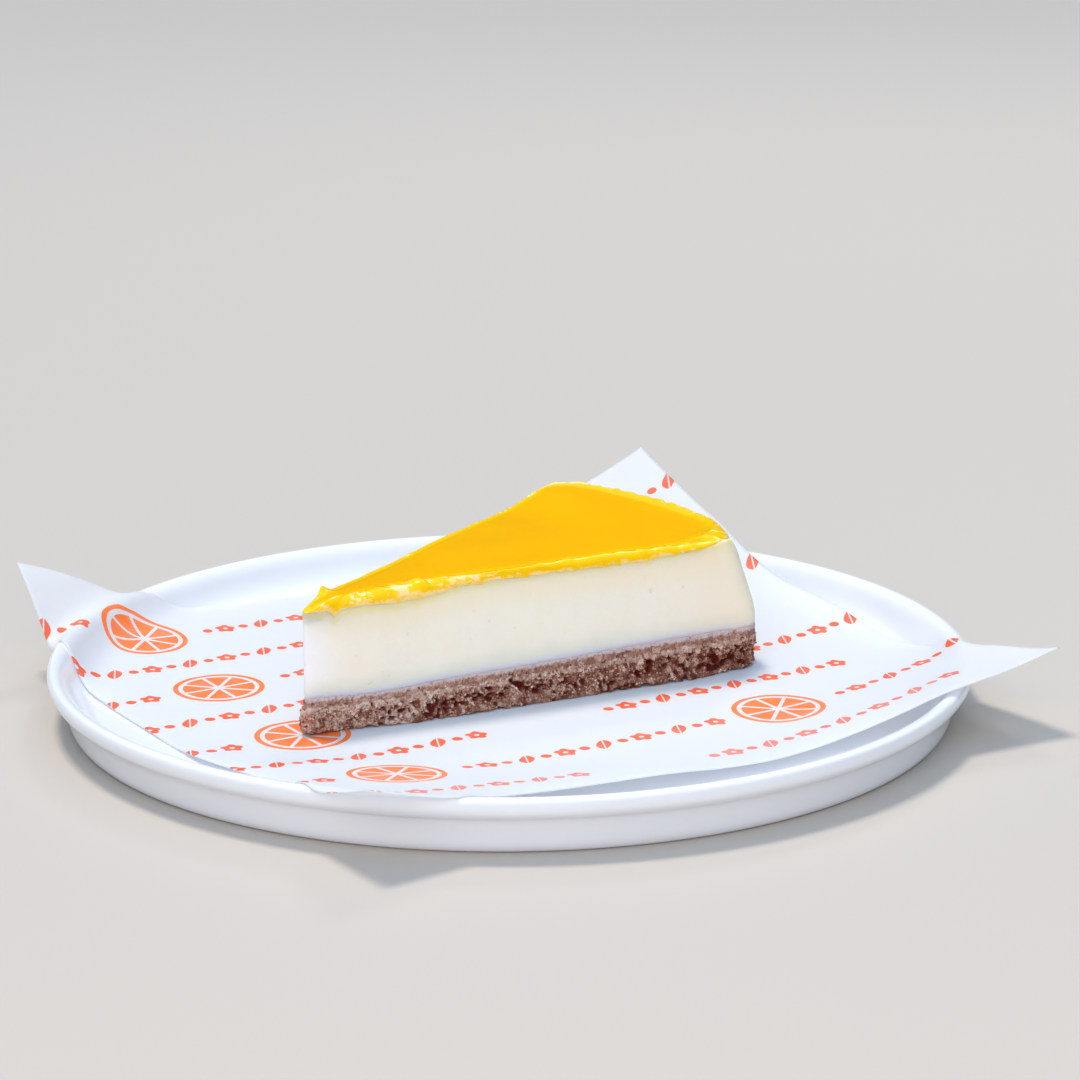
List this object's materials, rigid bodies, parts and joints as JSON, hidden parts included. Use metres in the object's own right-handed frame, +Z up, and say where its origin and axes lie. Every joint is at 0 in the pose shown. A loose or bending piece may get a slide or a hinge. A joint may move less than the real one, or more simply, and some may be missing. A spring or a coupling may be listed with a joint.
{
  "type": "cheesecake slice on plate",
  "caption": "Slice of cheesecake with a yellow glaze on a crumb base, lying on a curled square of greaseproof paper in a round white plate.",
  "frame": {"origin": "under the middle of the whole, paper corners included, on the surface that the plate stands on", "axes": "+Z up; +X to the right and +Y away as seen from the front, with the slice's long cut turned about 26 degrees from +X"},
  "size_m": [0.273, 0.266, 0.0424],
  "materials": {
    "porcelain": "glazed white porcelain",
    "greaseproof_paper": "thin white greaseproof paper with a printed pattern",
    "cocoa_crumb": "pressed cocoa biscuit crumb",
    "cheese": "moist baked cheese filling",
    "yellow_glaze": "glossy set fruit glaze"
  },
  "bodies": {
    "root": {"plate": "porcelain", "paper_liner": "greaseproof_paper", "crumb_base": "cocoa_crumb", "cheese_filling": "cheese", "glaze": "yellow_glaze"}
  },
  "joints": []
}
